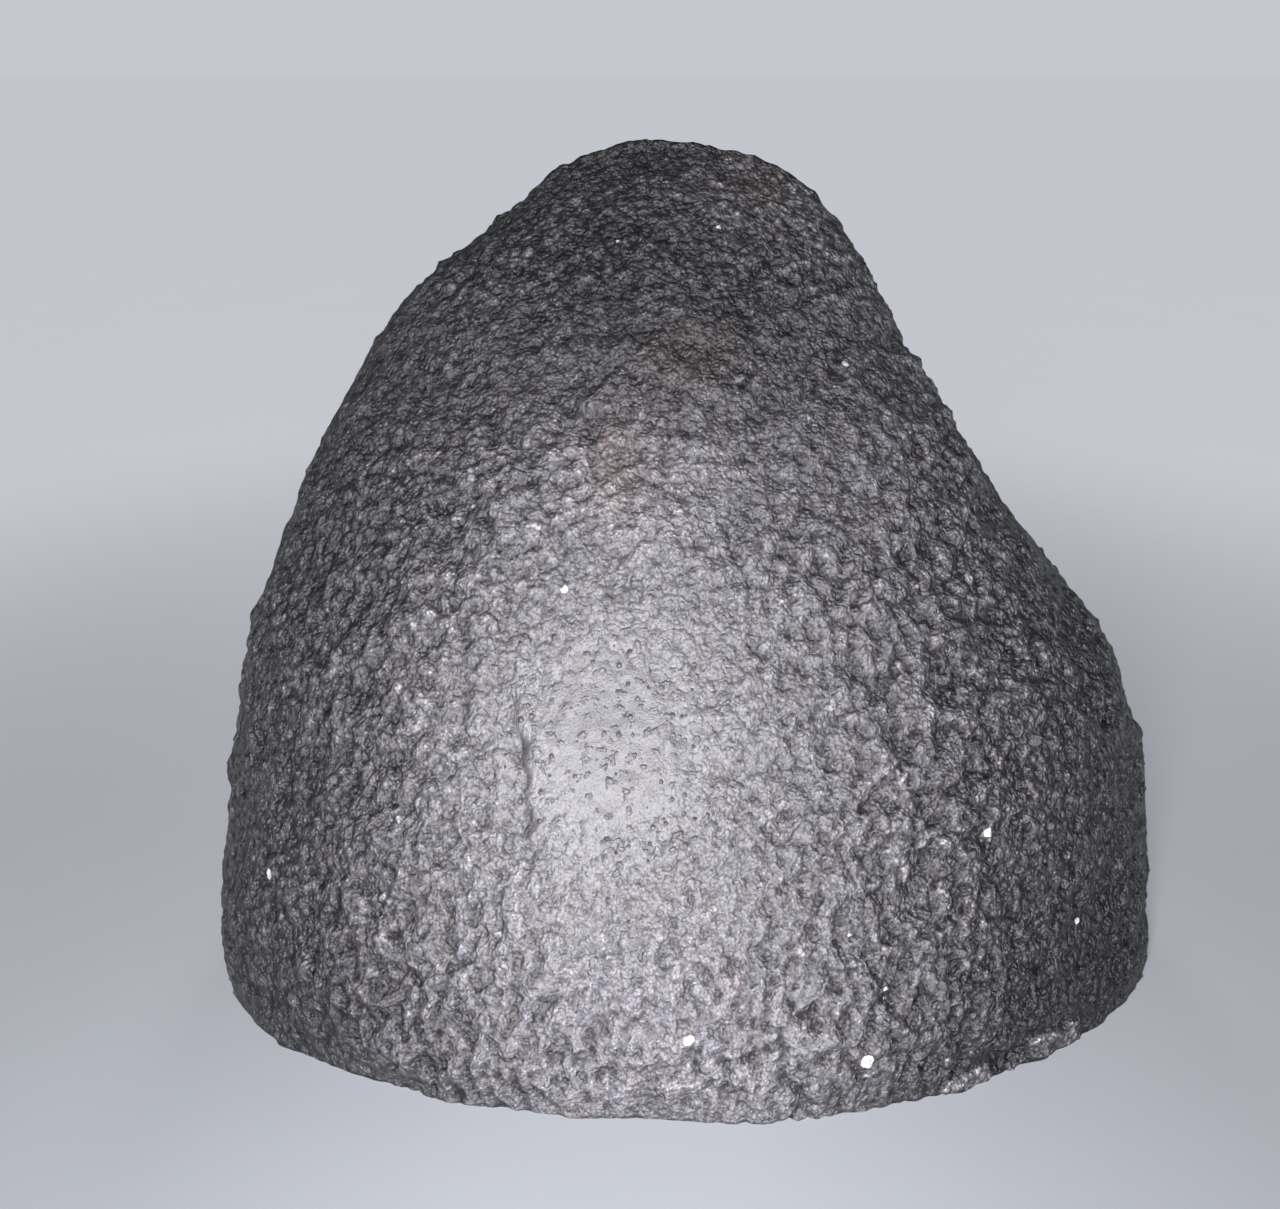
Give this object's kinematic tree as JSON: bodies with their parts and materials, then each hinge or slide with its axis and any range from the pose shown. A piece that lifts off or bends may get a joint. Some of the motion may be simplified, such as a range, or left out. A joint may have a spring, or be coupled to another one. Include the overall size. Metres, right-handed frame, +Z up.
{
  "type": "amethyst cathedral geode",
  "caption": "Half of a domed grey basalt nodule on a sawn flat base, with a hollow lined with amethyst points behind its sawn open face.",
  "frame": {"origin": "under the middle of the whole geode's bounding box, on the plane of its flat base", "axes": "+X to the right seen from the domed crust side, +Y from the domed crust towards the sawn open face, +Z up"},
  "size_m": [0.183, 0.0986, 0.1513],
  "materials": {
    "crust": "semi-gloss dark grey coat over pebbly natural crust",
    "amethyst": "clear, natural crystal faces"
  },
  "bodies": {
    "root": {"stone": "crust", "amethyst_crystals": "amethyst"}
  },
  "joints": []
}
